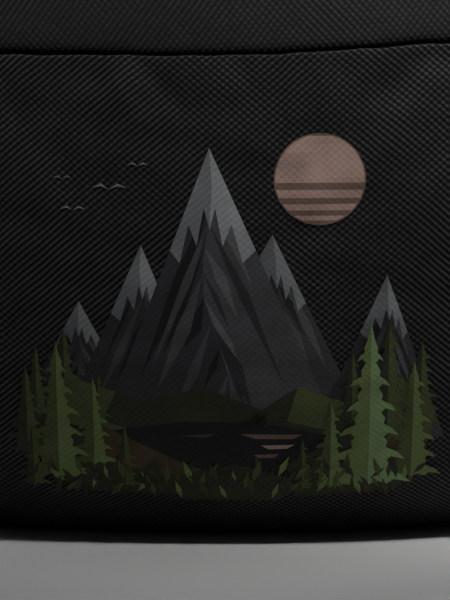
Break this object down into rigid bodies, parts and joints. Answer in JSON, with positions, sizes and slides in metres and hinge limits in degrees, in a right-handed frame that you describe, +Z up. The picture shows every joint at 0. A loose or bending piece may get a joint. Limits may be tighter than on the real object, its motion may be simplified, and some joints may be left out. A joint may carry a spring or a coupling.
{
  "type": "belt bag",
  "caption": "Black woven belt bag with a curved zipped pouch, a printed front pocket under a covered zip, and a padded, buckled waist belt.",
  "frame": {"origin": "centre of the bag's flat base, on the surface it stands on", "axes": "+X to the bag's right as seen from the front, -Y out of its front pocket, +Z up"},
  "size_m": [0.3456, 0.25, 0.1413],
  "materials": {
    "bag_fabric": "plain weave",
    "spacer_mesh": "open mesh",
    "webbing": "ribbed weave",
    "zip": "woven tape",
    "zip_hardware": "satin",
    "pull_grip": "moulded",
    "buckle": "satin"
  },
  "bodies": {
    "bag": {"main_body": "bag_fabric", "back_pad": "spacer_mesh", "front_pocket": "bag_fabric", "pocket_zip": "zip", "main_zip": "zip", "main_zip_end_left": "bag_fabric", "main_zip_end_right": "bag_fabric", "wing_left": "bag_fabric", "wing_right": "bag_fabric", "belt_left": "webbing", "belt_right": "webbing", "strap_keeper": "webbing", "buckle_socket": "buckle", "buckle_plug": "buckle"},
    "main_slider": {"main_slider": "zip_hardware"},
    "main_pull": {"main_pull": "zip_hardware"},
    "pocket_slider": {"pocket_slider": "zip_hardware"},
    "pocket_pull": {"pocket_pull": "pull_grip"}
  },
  "joints": [
    {"name": "main_zip_travel", "type": "hinge", "parent": "bag", "child": "main_slider", "pos_m": [0, 0.108, 0.1326], "axis": [0, 0, 1], "range_deg": [0, 70]},
    {"name": "main_pull_swing", "type": "hinge", "parent": "main_slider", "child": "main_pull", "pos_m": [-0.08303, -0.01058, 0.13801], "axis": [-0.568, -0.8112, -0.1386], "range_deg": [0, 165]},
    {"name": "pocket_zip_travel", "type": "hinge", "parent": "bag", "child": "pocket_slider", "pos_m": [0, 0.108, 0.0905], "axis": [0, 0, 1], "range_deg": [-62, 0]},
    {"name": "pocket_pull_swing", "type": "hinge", "parent": "pocket_slider", "child": "pocket_pull", "pos_m": [0.08318, -0.03043, 0.1011], "axis": [-0.8572, -0.515, 0], "range_deg": [0, 110]}
  ]
}
